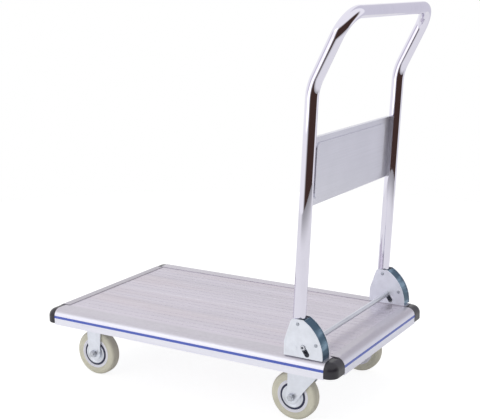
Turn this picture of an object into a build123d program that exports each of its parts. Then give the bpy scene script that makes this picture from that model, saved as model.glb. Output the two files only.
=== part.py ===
from build123d import *
import os
from math import asin, atan2, cos, degrees, hypot, radians, sin, sqrt, tan

os.makedirs("parts", exist_ok=True)

# A folding platform cart. +X points to the handle end, -Y to the near side, z = 0 is the floor.
# Everything is drawn with the middle of the deck at x = 0, and save() moves it so that the middle of
# the whole cart is at x = 0.

# Driving dimensions, in millimetres
deck_length = 700.0
deck_width = 450.0
deck_top = 155.0
rail_height = 34.0
wheel_diameter = 100.0
wheel_width = 26.0
tube_diameter = 25.4
handle_spread = 407.0
handle_lean = 2.7
handle_height = 816.5
bend_height = 668.9
grip_offset = 60.8

# Rails
rail_bottom = deck_top - rail_height
half_length = deck_length / 2
half_width = deck_width / 2
shoulder_radius = 17.0
rail_wall = 3.0
side_rail_width = 40.0
end_rail_width = 30.0
side_shelf_width = 39.5
end_shelf_width = 29.7
shelf_top = deck_top - 17.0
shelf_thickness = 2.5
foot_flange_width = 20.0
stripe_height = 5.5
stripe_depth = 1.5
stripe_middle = deck_top - rail_height / 2

# Corner caps
cap_proud = 0.8
cap_top = deck_top - 1.2
cap_bottom = rail_bottom + 1.8
cap_corner_radius = 20.0
cap_shoulder_radius = 17.0
cap_foot_round = 2.9
cap_along_side = 23.5
cap_along_end = 44.0
cap_wall = 3.0
crown_radius = 40.0
crown_length = 12.0
plug_length = 20.0
plug_clearance = 0.1

# Planks
plank_recess = 1.2
plank_top = deck_top - plank_recess
plank_bottom = shelf_top - shelf_thickness
plank_skin = 2.5
groove_width = 1.6
groove_depth = 0.5
plank_gap = 0.3
seam_gap = 0.2
seam_chamfer = 0.8
web_thickness = 2.0
web_offsets = (1.0, 24.0, 56.0)
plank_foot_width = 14.0
plank_foot_thickness = 1.5
foot_rivet_step = 3.9

# Cross bearers
bearer_thickness = 3.0
bearer_width = 114.0
bearer_flange_thickness = 2.5
bearer_top = plank_bottom
bearer_bottom = bearer_top - bearer_thickness
bearer_flange_bottom = rail_bottom + 3.0
bearer_reach = half_width - 7.0

# Casters
wheel_radius = wheel_diameter / 2
wheel_y = 156.6
front_wheel_x = -260.1
rear_wheel_x = 232.9
swivel_offset = 33.0
kingpin_x = rear_wheel_x + swivel_offset
caster_plate_length = 104.0
caster_plate_width = 64.0
caster_plate_thickness = 3.0
caster_plate_bottom = bearer_bottom - caster_plate_thickness
bolt_half_x = 43.0
bolt_half_y = 20.0
bolt_radius = 3.0
bolt_flats = 10.0
fork_thickness = 2.5
fork_gap = 30.0
fork_inner = fork_gap / 2
fork_outer = fork_inner + fork_thickness
axle_radius = 4.0
sleeve_radius = 6.0
running_clearance = 0.05
crown_top = rail_bottom
crown_bottom = crown_top - fork_thickness

# Handle
tube_radius = tube_diameter / 2
tube_wall = 1.5
leg_y = handle_spread / 2
lean_slope = tan(radians(handle_lean))
foot_x = 260.0
pivot_z = deck_top + 16.7
grip_z = handle_height - tube_radius
bend_radius = 100.0
grip_corner_radius = 50.0
foot_radius = tube_radius + 0.4

# Hinge
plate_thickness = 1.6
side_gap = 1.5
plate_inner = tube_radius + side_gap
plate_outer = plate_inner + plate_thickness
arc_x = 239.4
arc_z = 158.2
plate_arc_radius = 81.8
guard_radius = 80.6
guard_inner_radius = guard_radius - plate_thickness
plate_front_x = 238.5
plate_top = 230.0
base_top = deck_top + plate_thickness
pin_radius = 5.0
pin_head_radius = 6.2
pin_head_height = 0.6
bar_radius = 5.0
bar_travel = 15.5
bar_overhang = 2.5
slot_clearance = 0.3
bar_rest_x = 279.7
bar_rest_z = 175.6
bar_direction = (0.558, -0.830)
upper_rivet = (268.0, 220.5)
lower_rivet = (307.0, 184.2)
rivet_radius = 2.5
rivet_head_radius = 3.8
rivet_head_height = 1.3
spacer_radius = 4.0
clip_radius = 5.95

# Back panel
panel_thickness = 1.2
panel_bottom = 440.0
panel_top = 571.5
panel_set_back = 6.0

grip_x = foot_x + (grip_z - deck_top) * lean_slope + grip_offset
deck_mid_x = (half_length + cap_proud - grip_x - tube_radius) / 2


def leg_x(z):
    """Where the axis of a handle leg is at the height z, below the bend."""
    return foot_x + (z - deck_top) * lean_slope


pivot_x = leg_x(pivot_z)


def save(name, *solids):
    """Write one node, moved so that the middle of the cart is at x = 0."""
    moved = [Pos(deck_mid_x, 0, 0) * solid for solid in solids]
    shape = moved[0] if len(moved) == 1 else Compound(children=moved)
    export_step(shape, f"parts/{name}.step")


def block(x0, x1, y0, y1, z0, z1):
    """A box between two corners."""
    return Pos((x0 + x1) / 2, (y0 + y1) / 2, (z0 + z1) / 2) * Box(abs(x1 - x0), abs(y1 - y0), abs(z1 - z0))


def across(x, z, radius, y0, y1):
    """A cylinder along Y."""
    return Pos(x, (y0 + y1) / 2, z) * Rot(90, 0, 0) * Cylinder(radius, abs(y1 - y0))


def upright(x, y, radius, z0, z1):
    """A cylinder along Z."""
    return Pos(x, y, (z0 + z1) / 2) * Cylinder(radius, abs(z1 - z0))


def hexagon_upright(x, y, across_flats, z0, z1):
    """A hexagonal prism along Z."""
    sketch = Pos(x, y) * RegularPolygon(across_flats / 2, 6, major_radius=False)
    return extrude(Plane.XY.offset(z0) * sketch, amount=z1 - z0)


def plate_in_xz(sketch, y0, y1):
    """A plate whose outline is drawn in X and Z, between two planes across Y."""
    return extrude(Plane.XZ.offset(-max(y0, y1)) * sketch, amount=abs(y1 - y0))


def bar_along_x(sketch, x0, x1):
    """An extrusion along X whose section is drawn in Y and Z."""
    return extrude(Plane.YZ.offset(x0) * sketch, amount=x1 - x0)


def rectangle(u0, u1, v0, v1):
    """A flat rectangle between two corners."""
    return Pos((u0 + u1) / 2, (v0 + v1) / 2) * Rectangle(u1 - u0, v1 - v0)


def flip_y(solid):
    return mirror(solid, about=Plane.XZ)


def flip_x(solid):
    return mirror(solid, about=Plane.YZ)


# ---------------------------------------------------------------- rails and stripes

def rail_envelope(width):
    """The outer shape of a rail's section: u runs inward from its outer face, v is the height."""
    outline = rectangle(0, width, rail_bottom, deck_top)
    corner = outline.vertices().sort_by(Axis.Y)[-2:].sort_by(Axis.X)[0]
    return fillet(corner, shoulder_radius)


def rail_section(width, shelf_width):
    """A rail's section: wall with rounded shoulder, top flange, shelf, foot flange and stripe groove."""
    section = rail_envelope(width)
    open_side = width + 1
    upper = rectangle(rail_wall, open_side, shelf_top, deck_top - rail_wall)
    inner_corner = upper.vertices().sort_by(Axis.Y)[-2:].sort_by(Axis.X)[0]
    upper = fillet(inner_corner, shoulder_radius - rail_wall - 1)
    section -= upper
    section -= rectangle(rail_wall, open_side, rail_bottom + shelf_thickness, shelf_top - shelf_thickness)
    section -= rectangle(foot_flange_width, open_side, rail_bottom - 1, shelf_top - shelf_thickness)
    section -= rectangle(shelf_width, open_side, rail_bottom, shelf_top + 1)
    return section - stripe_groove()


def stripe_groove():
    low = stripe_middle - stripe_height / 2
    return rectangle(-1, stripe_depth, low, low + stripe_height)


def stripe_section():
    return stripe_groove() & rail_envelope(side_rail_width)


rail_end_x = half_length - cap_along_side
rail_end_y = half_width - cap_along_end
hinge_screw_places = [(x, y) for x in (250.0, 272.0, 302.0) for y in (leg_y - 9.0, leg_y - 1.5)]
screw_radius = 2.0
rail_rivet_radius = 2.4
plank_rivet_radius = 2.0


def side_rail():
    """The near side rail, with holes for the hinge's screws."""
    section = rail_section(side_rail_width, side_shelf_width)
    rail = bar_along_x(Pos(-half_width, 0) * section, -rail_end_x, rail_end_x)
    for x, y in hinge_screw_places:
        rail -= upright(x, -y, screw_radius, shelf_top + 1, deck_top + 1)
    for x, y in rail_rivet_places():
        rail -= upright(x, -y, rail_rivet_radius, rail_bottom + shelf_thickness + 1, shelf_top + 1)
    return rail


def end_rail():
    """The front end rail."""
    section = rail_section(end_rail_width, end_shelf_width)
    return plate_in_xz(Pos(-half_length, 0) * section, -rail_end_y, rail_end_y)


def rail_rivet_places():
    """Rivets that join the bearers to a side rail's shelf."""
    middles = (front_wheel_x, kingpin_x)
    return [(middle + step, half_width - 27.0) for middle in middles for step in (-36.0, 36.0)]


def make_rails():
    near = side_rail()
    front = end_rail()
    save("side_rail_near", near)
    save("side_rail_far", flip_y(near))
    save("end_rail_front", front)
    save("end_rail_rear", flip_x(front))
    near_stripe = bar_along_x(Pos(-half_width, 0) * stripe_section(), -rail_end_x, rail_end_x)
    front_stripe = plate_in_xz(Pos(-half_length, 0) * stripe_section(), -rail_end_y, rail_end_y)
    save("edge_stripes", near_stripe, flip_y(near_stripe), front_stripe, flip_x(front_stripe))


# ---------------------------------------------------------------- corner caps

def cap_outline():
    """The cap's outline in plan, with its rounded corner."""
    outline = rectangle(rail_end_x, half_length + cap_proud, -half_width - cap_proud, -rail_end_y)
    corner = outline.vertices().sort_by(Axis.X)[-2:].sort_by(Axis.Y)[0]
    return fillet(corner, cap_corner_radius)


def cap_rim(shell, height):
    """The edges at one height that run round the cap's two outer sides."""
    level = shell.edges().filter_by_position(Axis.Z, height - 0.1, height + 0.1)
    return [e for e in level if e.center().X > rail_end_x + 1 and e.center().Y < -rail_end_y - 1]


def crown_cut():
    """What is cut off the cap's top so that it falls away towards its end on the end rail."""
    start_y = -rail_end_y - crown_length
    inner_x = half_length - end_rail_width - 1
    outer_x = half_length + cap_proud + 1
    top = block(inner_x, outer_x, start_y, -rail_end_y + 1, cap_top - 5, cap_top + 1)
    middle = Pos((inner_x + outer_x) / 2, start_y, cap_top - crown_radius)
    return top - middle * Rot(0, 90, 0) * Cylinder(crown_radius, outer_x - inner_x + 2)


def cap_cavity():
    """The hollow under the cap."""
    outline = rectangle(rail_end_x + cap_wall, half_length + cap_proud - cap_wall,
                        -half_width - cap_proud + cap_wall, -rail_end_y - cap_wall)
    corner = outline.vertices().sort_by(Axis.X)[-2:].sort_by(Axis.Y)[0]
    outline = fillet(corner, cap_corner_radius - cap_wall - 4)
    return extrude(Plane.XY.offset(cap_bottom - 1) * outline, amount=shelf_top + 2 - cap_bottom)


def corner_cap():
    """The cap of the handle end's near corner: a hollow moulding with a plug into each rail."""
    shell = extrude(Plane.XY.offset(cap_bottom) * cap_outline(), amount=cap_top - cap_bottom)
    shell = fillet(cap_rim(shell, cap_top), cap_shoulder_radius)
    shell = fillet(cap_rim(shell, cap_bottom), cap_foot_round)
    inner_end = half_length - end_rail_width
    shell += block(inner_end, rail_end_x, -(half_width - side_rail_width), -rail_end_y, shelf_top, cap_top)
    shell = shell - crown_cut() - cap_cavity()
    low = shelf_top + plug_clearance
    high = deck_top - 4.5
    side_plug = block(rail_end_x - plug_length, rail_end_x, -half_width + 12, -half_width + 30, low, high)
    end_plug = block(half_length - 25, half_length - 12, -rail_end_y, -rail_end_y + plug_length, low, high)
    return shell + side_plug + end_plug


def make_caps():
    cap = corner_cap()
    save("corner_cap_rear_near", cap)
    save("corner_cap_rear_far", flip_y(cap))
    save("corner_cap_front_near", flip_x(cap))
    save("corner_cap_front_far", flip_x(flip_y(cap)))


# ---------------------------------------------------------------- planks and bearers

plank_reach_y = half_width - side_rail_width - plank_gap
plank_reach_x = half_length - end_rail_width - plank_gap
plank_width = plank_reach_y / 2


def plank(low_y):
    """One plank on the far side of the middle: a skin with webs under it, one web with a foot."""
    high_y = low_y + plank_width
    skin = rectangle(low_y + seam_gap / 2, high_y - seam_gap / 2, plank_top - plank_skin, plank_top)
    section = chamfer(skin.vertices().sort_by(Axis.Y)[-2:], seam_chamfer)
    for number in range(1, 5):
        groove_y = low_y + plank_width * number / 5
        section -= rectangle(groove_y - groove_width / 2, groove_y + groove_width / 2,
                             plank_top - groove_depth, plank_top + 1)
    web_places = [low_y + offset + 0.2 for offset in web_offsets] + [high_y - web_thickness / 2 - 0.2]
    for y in web_places:
        half = web_thickness / 2
        section += rectangle(y - half, y + half, plank_bottom, plank_top - plank_skin / 2)
    foot_y = low_y + web_offsets[1]
    half_foot = plank_foot_width / 2
    section += rectangle(foot_y - half_foot, foot_y + half_foot, plank_bottom,
                         plank_bottom + plank_foot_thickness)
    solid = bar_along_x(section, -plank_reach_x, plank_reach_x)
    for x, y in foot_rivet_places(low_y):
        solid -= upright(x, y, plank_rivet_radius, plank_bottom - 1, plank_bottom + plank_foot_thickness + 1)
    return solid


def foot_rivet_places(low_y):
    """Rivets that join the bearers to a plank's foot, beside its web."""
    return [(x, low_y + web_offsets[1] + foot_rivet_step) for x in (front_wheel_x, kingpin_x)]


def make_planks():
    inner = plank(0.0)
    outer = plank(plank_width)
    for number, solid in enumerate((flip_y(outer), flip_y(inner), inner, outer), start=1):
        save(f"deck_plank_{number}", solid)


def bolt_places(middle_x, side):
    """The four bolts of a caster's plate."""
    return [(middle_x + dx, side * wheel_y + dy)
            for dx in (-bolt_half_x, bolt_half_x) for dy in (-bolt_half_y, bolt_half_y)]


def bearer(middle_x):
    """A channel across the cart, open downward, that rests under the rails' shelves."""
    left = middle_x - bearer_width / 2
    right = middle_x + bearer_width / 2
    solid = block(left, right, -bearer_reach, bearer_reach, bearer_bottom, bearer_top)
    for edge, inward in ((left, 1), (right, -1)):
        solid += block(edge, edge + inward * bearer_flange_thickness, -bearer_reach, bearer_reach,
                       bearer_flange_bottom, bearer_top)
    for side in (-1, 1):
        for x, y in bolt_places(middle_x, side):
            solid -= upright(x, y, bolt_radius, bearer_bottom - 1, bearer_top + 1)
        solid -= upright(middle_x, side * wheel_y, 13.0, bearer_bottom - 1, bearer_top + 1)
        for x, y in rail_rivet_places():
            solid -= upright(x, side * y, rail_rivet_radius, bearer_bottom - 1, bearer_top + 1)
        for low_y in (0.0, plank_width):
            for x, y in foot_rivet_places(low_y):
                solid -= upright(x, side * y, plank_rivet_radius, bearer_bottom - 1, bearer_top + 1)
    return solid


def rivet(x, y, radius, low, high, head_radius, head_height):
    """A rivet along Z with a head at both ends."""
    shank = upright(x, y, radius, low, high)
    lower_head = upright(x, y, head_radius, low - head_height, low)
    upper_head = upright(x, y, head_radius, high, high + head_height)
    return shank + lower_head + upper_head


def make_bearers():
    save("cross_bearers", bearer(front_wheel_x), bearer(kingpin_x))
    rivets = []
    for side in (-1, 1):
        for x, y in rail_rivet_places():
            rivets.append(rivet(x, side * y, rail_rivet_radius, bearer_bottom, shelf_top, 4.5, 1.2))
        for low_y in (0.0, plank_width):
            for x, y in foot_rivet_places(low_y):
                top = plank_bottom + plank_foot_thickness
                rivets.append(rivet(x, side * y, plank_rivet_radius, bearer_bottom, top, 2.5, 1.0))
    save("bearer_rivets", *rivets)


# ---------------------------------------------------------------- wheels

tyre_inner_radius = 31.0
ring_outer_radius = 27.0
cover_radius = 23.5
core_half_width = 12.0
core_floor_half_width = 9.0
hub_radius = 12.0
cover_thickness = 1.2
cover_lip = 0.6
shoulder_round = 7.5


def turned(section, x, y):
    """Turn a section, drawn as radius and width, about an axle along Y."""
    solid = revolve(Plane.XY * section, axis=Axis.Y)
    return Pos(x, y, wheel_radius) * solid


def tyre(x, y):
    half = wheel_width / 2
    outline = rectangle(tyre_inner_radius, wheel_radius, -half, half)
    outline = fillet(outline.vertices().sort_by(Axis.X)[-2:], shoulder_round)
    outline = fillet(outline.vertices().sort_by(Axis.X)[:2], 1.5)
    return turned(outline, x, y)


def wheel_core(x, y):
    """The moulded centre: a rim for the tyre, a ring groove in each face, a web and a hub."""
    bore = sleeve_radius + running_clearance
    hub = rectangle(bore, hub_radius, -fork_inner + 0.8, fork_inner - 0.8)
    web = rectangle(bore, cover_radius, -core_half_width, core_half_width)
    floor = rectangle(bore, tyre_inner_radius, -core_floor_half_width, core_floor_half_width)
    rim = rectangle(ring_outer_radius, tyre_inner_radius, -core_half_width, core_half_width)
    return turned(hub + web + floor + rim, x, y)


def dust_covers(x, y):
    """A thin pressed disc on each face of the hub, with a raised rim."""
    def cover(side):
        near = side * core_half_width
        far = side * (core_half_width + cover_thickness)
        disc = rectangle(hub_radius + 0.2, cover_radius, min(near, far), max(near, far))
        lip_far = side * (core_half_width + cover_thickness + cover_lip)
        lip = rectangle(cover_radius - 2.0, cover_radius, min(near, lip_far), max(near, lip_far))
        return turned(disc + lip, x, y)
    return cover(-1), cover(1)


def axle_sleeve(x, y):
    tube = across(x, wheel_radius, sleeve_radius, y - fork_inner, y + fork_inner)
    return tube - across(x, wheel_radius, axle_radius, y - fork_inner - 1, y + fork_inner + 1)


def axle_bolt(x, y):
    """A bolt along Y through both legs, with its head inside and its nut outside."""
    out = 1 if y > 0 else -1
    head_start = y - out * fork_outer
    nut_start = y + out * fork_outer
    shank = across(x, wheel_radius, axle_radius, head_start, nut_start + out * 8.5)
    head = plate_in_xz(Pos(x, wheel_radius) * RegularPolygon(6.5, 6, major_radius=False),
                       head_start - out * 5.3, head_start)
    washer = across(x, wheel_radius, 8.0, nut_start, nut_start + out * 1.2)
    nut = plate_in_xz(Pos(x, wheel_radius) * RegularPolygon(6.5, 6, major_radius=False),
                      nut_start + out * 1.2, nut_start + out * 7.2)
    return shank + head + washer + nut


def make_wheels():
    places = {"front_near": (front_wheel_x, -wheel_y), "front_far": (front_wheel_x, wheel_y),
              "rear_near": (rear_wheel_x, -wheel_y), "rear_far": (rear_wheel_x, wheel_y)}
    for name, (x, y) in places.items():
        save(f"tyre_{name}", tyre(x, y))
        save(f"wheel_core_{name}", wheel_core(x, y))
        save(f"dust_covers_{name}", *dust_covers(x, y))
    front = [places["front_near"], places["front_far"]]
    save("front_axles", *[axle_bolt(x, y) for x, y in front])
    save("front_axle_sleeves", *[axle_sleeve(x, y) for x, y in front])
    for side in ("near", "far"):
        x, y = places[f"rear_{side}"]
        save(f"swivel_axle_{side}", axle_bolt(x, y))
        save(f"swivel_axle_sleeve_{side}", axle_sleeve(x, y))


# ---------------------------------------------------------------- casters

def caster_plate(middle_x, side):
    """A mounting plate with its four bolt holes."""
    y = side * wheel_y
    plate = block(middle_x - caster_plate_length / 2, middle_x + caster_plate_length / 2,
                  y - caster_plate_width / 2, y + caster_plate_width / 2,
                  caster_plate_bottom, bearer_bottom)
    plate = fillet(plate.edges().filter_by(Axis.Z), 6.0)
    for bolt_x, bolt_y in bolt_places(middle_x, side):
        plate -= upright(bolt_x, bolt_y, bolt_radius, caster_plate_bottom - 1, bearer_bottom + 1)
    return plate


def front_fork(side):
    """A rigid fork: a pressed plate with two tapered legs, flared where they meet it."""
    y = side * wheel_y
    top = caster_plate_bottom + 1
    half_outline = [(0, top), (36, top), (36, 123), (18.5, 108), (15.5, 56)]
    points = half_outline + [(-u, v) for u, v in reversed(half_outline[1:])]
    leg = make_face(Polyline(*points, close=True))
    leg += Pos(0, wheel_radius) * Circle(15.0)
    leg -= Pos(0, wheel_radius) * Circle(axle_radius)
    leg = Pos(front_wheel_x, 0) * leg
    fork = caster_plate(front_wheel_x, side)
    for direction in (-1, 1):
        fork += plate_in_xz(leg, y + direction * fork_inner, y + direction * fork_outer)
    return fork


crease_x = 261.0
crease_angle = 8.0


def swivel_leg_faces():
    """A swivel fork's leg in X and Z: the flat part with the axle boss, and the part past the crease."""
    boss_radius = 13.0
    front_x = rear_wheel_x - 9.5
    flat = make_face(Polyline((front_x, crown_bottom + 1), (front_x, 68), (rear_wheel_x - boss_radius, 50),
                              (rear_wheel_x, 50), (rear_wheel_x + 9, 41), (crease_x, 67.5),
                              (crease_x, crown_bottom + 1), close=True))
    flat += Pos(rear_wheel_x, wheel_radius) * Circle(boss_radius)
    flat -= Pos(rear_wheel_x, wheel_radius) * Circle(axle_radius)
    angled = make_face(Polyline((crease_x, crown_bottom + 1), (crease_x, 67.5), (290, 103), (295, 111),
                                (295, crown_bottom + 1), close=True))
    return flat, angled


def swivel_fork(side):
    """A swivel fork: a crown with its lower race and two legs, creased behind the axle."""
    y = side * wheel_y
    flat, angled = swivel_leg_faces()
    crown_sketch = rectangle(rear_wheel_x - 9.5, kingpin_x, -fork_outer, fork_outer)
    crown_sketch += Pos(kingpin_x, 0) * Circle(29.0)
    crown = extrude(Plane.XY.offset(crown_bottom) * Pos(0, y) * crown_sketch, amount=fork_thickness)
    race = upright(kingpin_x, y, 27.0, crown_top, crown_top + 0.8)
    fork = crown + race
    for direction in (-1, 1):
        inner = y + direction * fork_inner
        outer = y + direction * fork_outer
        fork += plate_in_xz(flat, inner, outer)
        web = plate_in_xz(angled, inner, outer)
        hinge_line = Axis((crease_x, outer, 0), (0, 0, 1))
        fork += web.rotate(hinge_line, -direction * crease_angle)
    return fork - upright(kingpin_x, y, kingpin_radius + running_clearance, crown_bottom - 1, crown_top + 2)


kingpin_radius = 6.0
race_radius = 20.5
ball_radius = 2.5
ball_count = 16
ball_z = crown_top + 0.8 + 0.3 + ball_radius


def swivel_plate(side):
    """The fixed half of a swivel: its plate and the upper race with a ball groove."""
    y = side * wheel_y
    race = upright(kingpin_x, y, 26.5, crown_top + 1.3, caster_plate_bottom)
    race -= upright(kingpin_x, y, 14.5, crown_top, caster_plate_bottom - 2.5)
    race -= Pos(kingpin_x, y, ball_z) * Torus(race_radius, ball_radius + 0.02)
    plate = caster_plate(kingpin_x, side) + race
    return plate - upright(kingpin_x, y, kingpin_radius, crown_top, bearer_bottom + 1)


def kingpin(side):
    """The bolt that a fork turns on, with its nut under the crown."""
    y = side * wheel_y
    shank = upright(kingpin_x, y, kingpin_radius, crown_bottom - 8.5, bearer_bottom)
    head = upright(kingpin_x, y, 10.0, bearer_bottom, bearer_top - 0.2)
    nut = hexagon_upright(kingpin_x, y, 18.0, crown_bottom - 7.3, crown_bottom - 0.3)
    return shank + head + nut


def swivel_balls(side):
    y = side * wheel_y
    balls = []
    for number in range(ball_count):
        angle = radians(360 / ball_count * number)
        place = Pos(kingpin_x + race_radius * cos(angle), y + race_radius * sin(angle), ball_z)
        balls.append(place * Sphere(ball_radius))
    return balls


def caster_fastener(x, y):
    """A bolt up through a caster's plate and the bearer, with its nut above."""
    shank = upright(x, y, bolt_radius, caster_plate_bottom, bearer_top + 7.0)
    head = hexagon_upright(x, y, bolt_flats, caster_plate_bottom - 4.0, caster_plate_bottom)
    nut = hexagon_upright(x, y, bolt_flats, bearer_top, bearer_top + 5.5)
    return shank + head + nut


def make_casters():
    sides = {"near": -1, "far": 1}
    for name, side in sides.items():
        save(f"front_fork_{name}", front_fork(side))
        save(f"swivel_plate_{name}", swivel_plate(side))
        save(f"swivel_fork_{name}", swivel_fork(side))
    save("kingpins", kingpin(-1), kingpin(1))
    save("swivel_balls", *swivel_balls(-1), *swivel_balls(1))
    places = [place for x in (front_wheel_x, kingpin_x) for side in (-1, 1) for place in bolt_places(x, side)]
    save("caster_bolts", *[caster_fastener(x, y) for x, y in places])


# ---------------------------------------------------------------- hinge brackets

bar_end = (bar_rest_x + bar_direction[0] * bar_travel, bar_rest_z + bar_direction[1] * bar_travel)


def slot_sketch(radius):
    """The slanted slot that the release bar slides in."""
    middle = ((bar_rest_x + bar_end[0]) / 2, (bar_rest_z + bar_end[1]) / 2)
    angle = degrees(atan2(bar_direction[1], bar_direction[0]))
    return Pos(*middle) * Rot(0, 0, angle) * SlotCenterToCenter(bar_travel, 2 * radius)


def plate_outline():
    """A hinge plate in X and Z: a quarter disc whose front is cut back along the leg."""
    top_angle = asin((plate_top - arc_z) / plate_arc_radius)
    half_angle = top_angle / 2
    top_x = arc_x + plate_arc_radius * cos(top_angle)
    middle = (arc_x + plate_arc_radius * cos(half_angle), arc_z + plate_arc_radius * sin(half_angle))
    heel = (arc_x + sqrt(plate_arc_radius ** 2 - (deck_top - arc_z) ** 2), deck_top)
    front = Polyline(heel, (plate_front_x, deck_top), (plate_front_x + 0.5, 184.0), (246.0, 205.5),
                     (253.0, plate_top - 4.0), (257.5, plate_top), (top_x, plate_top))
    return make_face(front.edges() + [ThreePointArc((top_x, plate_top), middle, heel)])


def plate_holes():
    """The holes that both plates of a hinge have."""
    holes = Pos(pivot_x, pivot_z) * Circle(pin_radius)
    holes += Pos(*upper_rivet) * Circle(rivet_radius)
    holes += Pos(*lower_rivet) * Circle(rivet_radius)
    return holes + slot_sketch(bar_radius + slot_clearance)


def hinge_outer_plate():
    """The near hinge's outer plate."""
    return plate_in_xz(plate_outline() - plate_holes(), -leg_y - plate_outer, -leg_y - plate_inner)


def hinge_inner_plate():
    """The near hinge's inner plate, bent at its foot into the base that is screwed to the rail."""
    plate = plate_in_xz(plate_outline() - plate_holes(), -leg_y + plate_inner, -leg_y + plate_outer)
    heel = arc_x + guard_inner_radius - 0.2
    plate += block(plate_front_x, heel, -leg_y - plate_inner, -leg_y + plate_inner, deck_top, base_top)
    for x, y in hinge_screw_places:
        plate -= upright(x, -y, screw_radius, deck_top - 1, base_top + 1)
    return plate


def hinge_guard():
    """The strip between the two plates that closes the near hinge's back and stops the leg."""
    ring = Circle(guard_radius) - Circle(guard_inner_radius)
    low = deck_top - arc_z
    high = plate_top - 2.4 - arc_z
    window = rectangle(0, 2 * guard_radius, low, high)
    strip = Pos(arc_x, arc_z) * (ring & window)
    return plate_in_xz(strip, -leg_y - plate_inner, -leg_y + plate_inner)


def hinge_rivets():
    """Two short rivets at the top of the near hinge, and one with a spacer through both plates."""
    x, z = lower_rivet
    outer_face = leg_y + plate_outer
    inner_face = leg_y - plate_outer
    through = across(x, z, rivet_radius, -outer_face, -inner_face)
    spacer = across(x, z, spacer_radius, -leg_y - plate_inner, -leg_y + plate_inner)
    outer_head = across(x, z, rivet_head_radius, -outer_face - rivet_head_height, -outer_face)
    inner_head = across(x, z, rivet_head_radius, -inner_face, -inner_face + rivet_head_height)
    long_rivet = through + spacer + outer_head + inner_head
    x, z = upper_rivet
    short = []
    for out in (-1, 1):
        face = -leg_y + out * plate_outer
        shank = across(x, z, rivet_radius, face, face - out * plate_thickness)
        tail = across(x, z, 3.2, face - out * plate_thickness, face - out * (plate_thickness + 0.5))
        head = across(x, z, rivet_head_radius, face, face + out * rivet_head_height)
        short.append(shank + tail + head)
    return [long_rivet] + short


def hinge_pin():
    """The near hinge's pivot pin, with a low flat head at each end."""
    pin = across(pivot_x, pivot_z, pin_radius, -leg_y - plate_outer, -leg_y + plate_outer)
    for out in (-1, 1):
        face = -leg_y + out * plate_outer
        pin += across(pivot_x, pivot_z, pin_head_radius, face, face + out * pin_head_height)
    return pin


def hinge_washers():
    """A nylon washer in the gap at each side of the near leg's foot."""
    washers = []
    bore = across(pivot_x, pivot_z, pin_radius + 0.1, -leg_y - plate_outer, -leg_y + plate_outer)
    for out in (-1, 1):
        near = -leg_y + out * (tube_radius + 0.1)
        far = -leg_y + out * (plate_inner - 0.1)
        washers.append(across(pivot_x, pivot_z, 11.0, near, far) - bore)
    return washers


def hinge_screw(x, y):
    """A pan-head screw down through the base into the rail's flange."""
    shank = upright(x, -y, screw_radius, deck_top - 9.0, base_top)
    head = upright(x, -y, 3.6, base_top, base_top + 1.0)
    return shank + head


def release_spring():
    """A torsion spring on the near hinge's spacer: one arm lies under the release bar."""
    wire = 0.8
    coil_radius = spacer_radius + 0.3 + wire
    pitch = 2 * wire + 0.3
    turns = 4
    x, z = lower_rivet
    path = Helix(pitch=pitch, height=pitch * turns, radius=coil_radius)
    start = path @ 0
    section = Plane(origin=start, z_dir=path % 0) * Circle(wire)
    coil = sweep(section, path=path, is_frenet=True)
    to_bar = (bar_rest_x - x, bar_rest_z - z)
    distance = hypot(*to_bar)
    clear = bar_radius + wire + 0.3
    tilt = asin((coil_radius - clear) / distance)
    heading = atan2(to_bar[1], to_bar[0]) - tilt
    below = (-sin(heading), cos(heading))
    arm_start = (x + coil_radius * below[0], z + coil_radius * below[1])
    arm_length = distance * cos(tilt) + 0.8
    arm_end = (arm_start[0] + arm_length * cos(heading), arm_start[1] + arm_length * sin(heading))
    coil_angle = degrees(atan2(below[1], below[0]))
    coil = Pos(x, -leg_y + 2.0, z) * Rot(90, 0, 0) * Rot(0, 0, coil_angle) * coil
    arm_path = Line((arm_start[0], -leg_y + 2.0, arm_start[1]), (arm_end[0], -leg_y + 2.0, arm_end[1]))
    arm = sweep(Plane(origin=arm_path @ 0, z_dir=arm_path % 0) * Circle(wire), path=arm_path)
    return coil + arm


def make_hinges():
    for name, solid in (("hinge_outer_plate", hinge_outer_plate()), ("hinge_inner_plate", hinge_inner_plate()),
                        ("hinge_guard", hinge_guard())):
        save(f"{name}_near", solid)
        save(f"{name}_far", flip_y(solid))
    screws = [hinge_screw(x, y) for x, y in hinge_screw_places]
    groups = {"hinge_rivets": hinge_rivets(), "hinge_pins": [hinge_pin()], "hinge_washers": hinge_washers(),
              "hinge_screws": screws, "release_springs": [release_spring()]}
    for name, solids in groups.items():
        save(name, *solids, *[flip_y(solid) for solid in solids])


# ---------------------------------------------------------------- handle

def handle_path():
    """The centre line of the handle, from foot to foot."""
    foot = (leg_x(pivot_z - foot_radius - 1), pivot_z - foot_radius - 1)
    bend = (leg_x(bend_height), bend_height)
    points = [(foot[0], -leg_y, foot[1]), (bend[0], -leg_y, bend[1]), (grip_x, -leg_y, grip_z),
              (grip_x, leg_y, grip_z), (bend[0], leg_y, bend[1]), (foot[0], leg_y, foot[1])]
    return FilletPolyline(*points, radius=[bend_radius, grip_corner_radius, grip_corner_radius, bend_radius])


def foot_trim(y, radius):
    """What is cut off below the pivot so that a leg's foot is round about the pin."""
    low = block(pivot_x - 30, pivot_x + 30, y - 20, y + 20, pivot_z - 40, pivot_z)
    return low - across(pivot_x, pivot_z, radius, y - 20, y + 20)


def round_bar(path, radius):
    """A round bar along a path, made run by run and bend by bend."""
    runs = []
    for edge in path.edges():
        start = Plane(origin=edge @ 0, z_dir=edge % 0)
        runs.append(sweep(start * Circle(radius), path=edge))
    return runs[0].fuse(*runs[1:]).clean()


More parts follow.
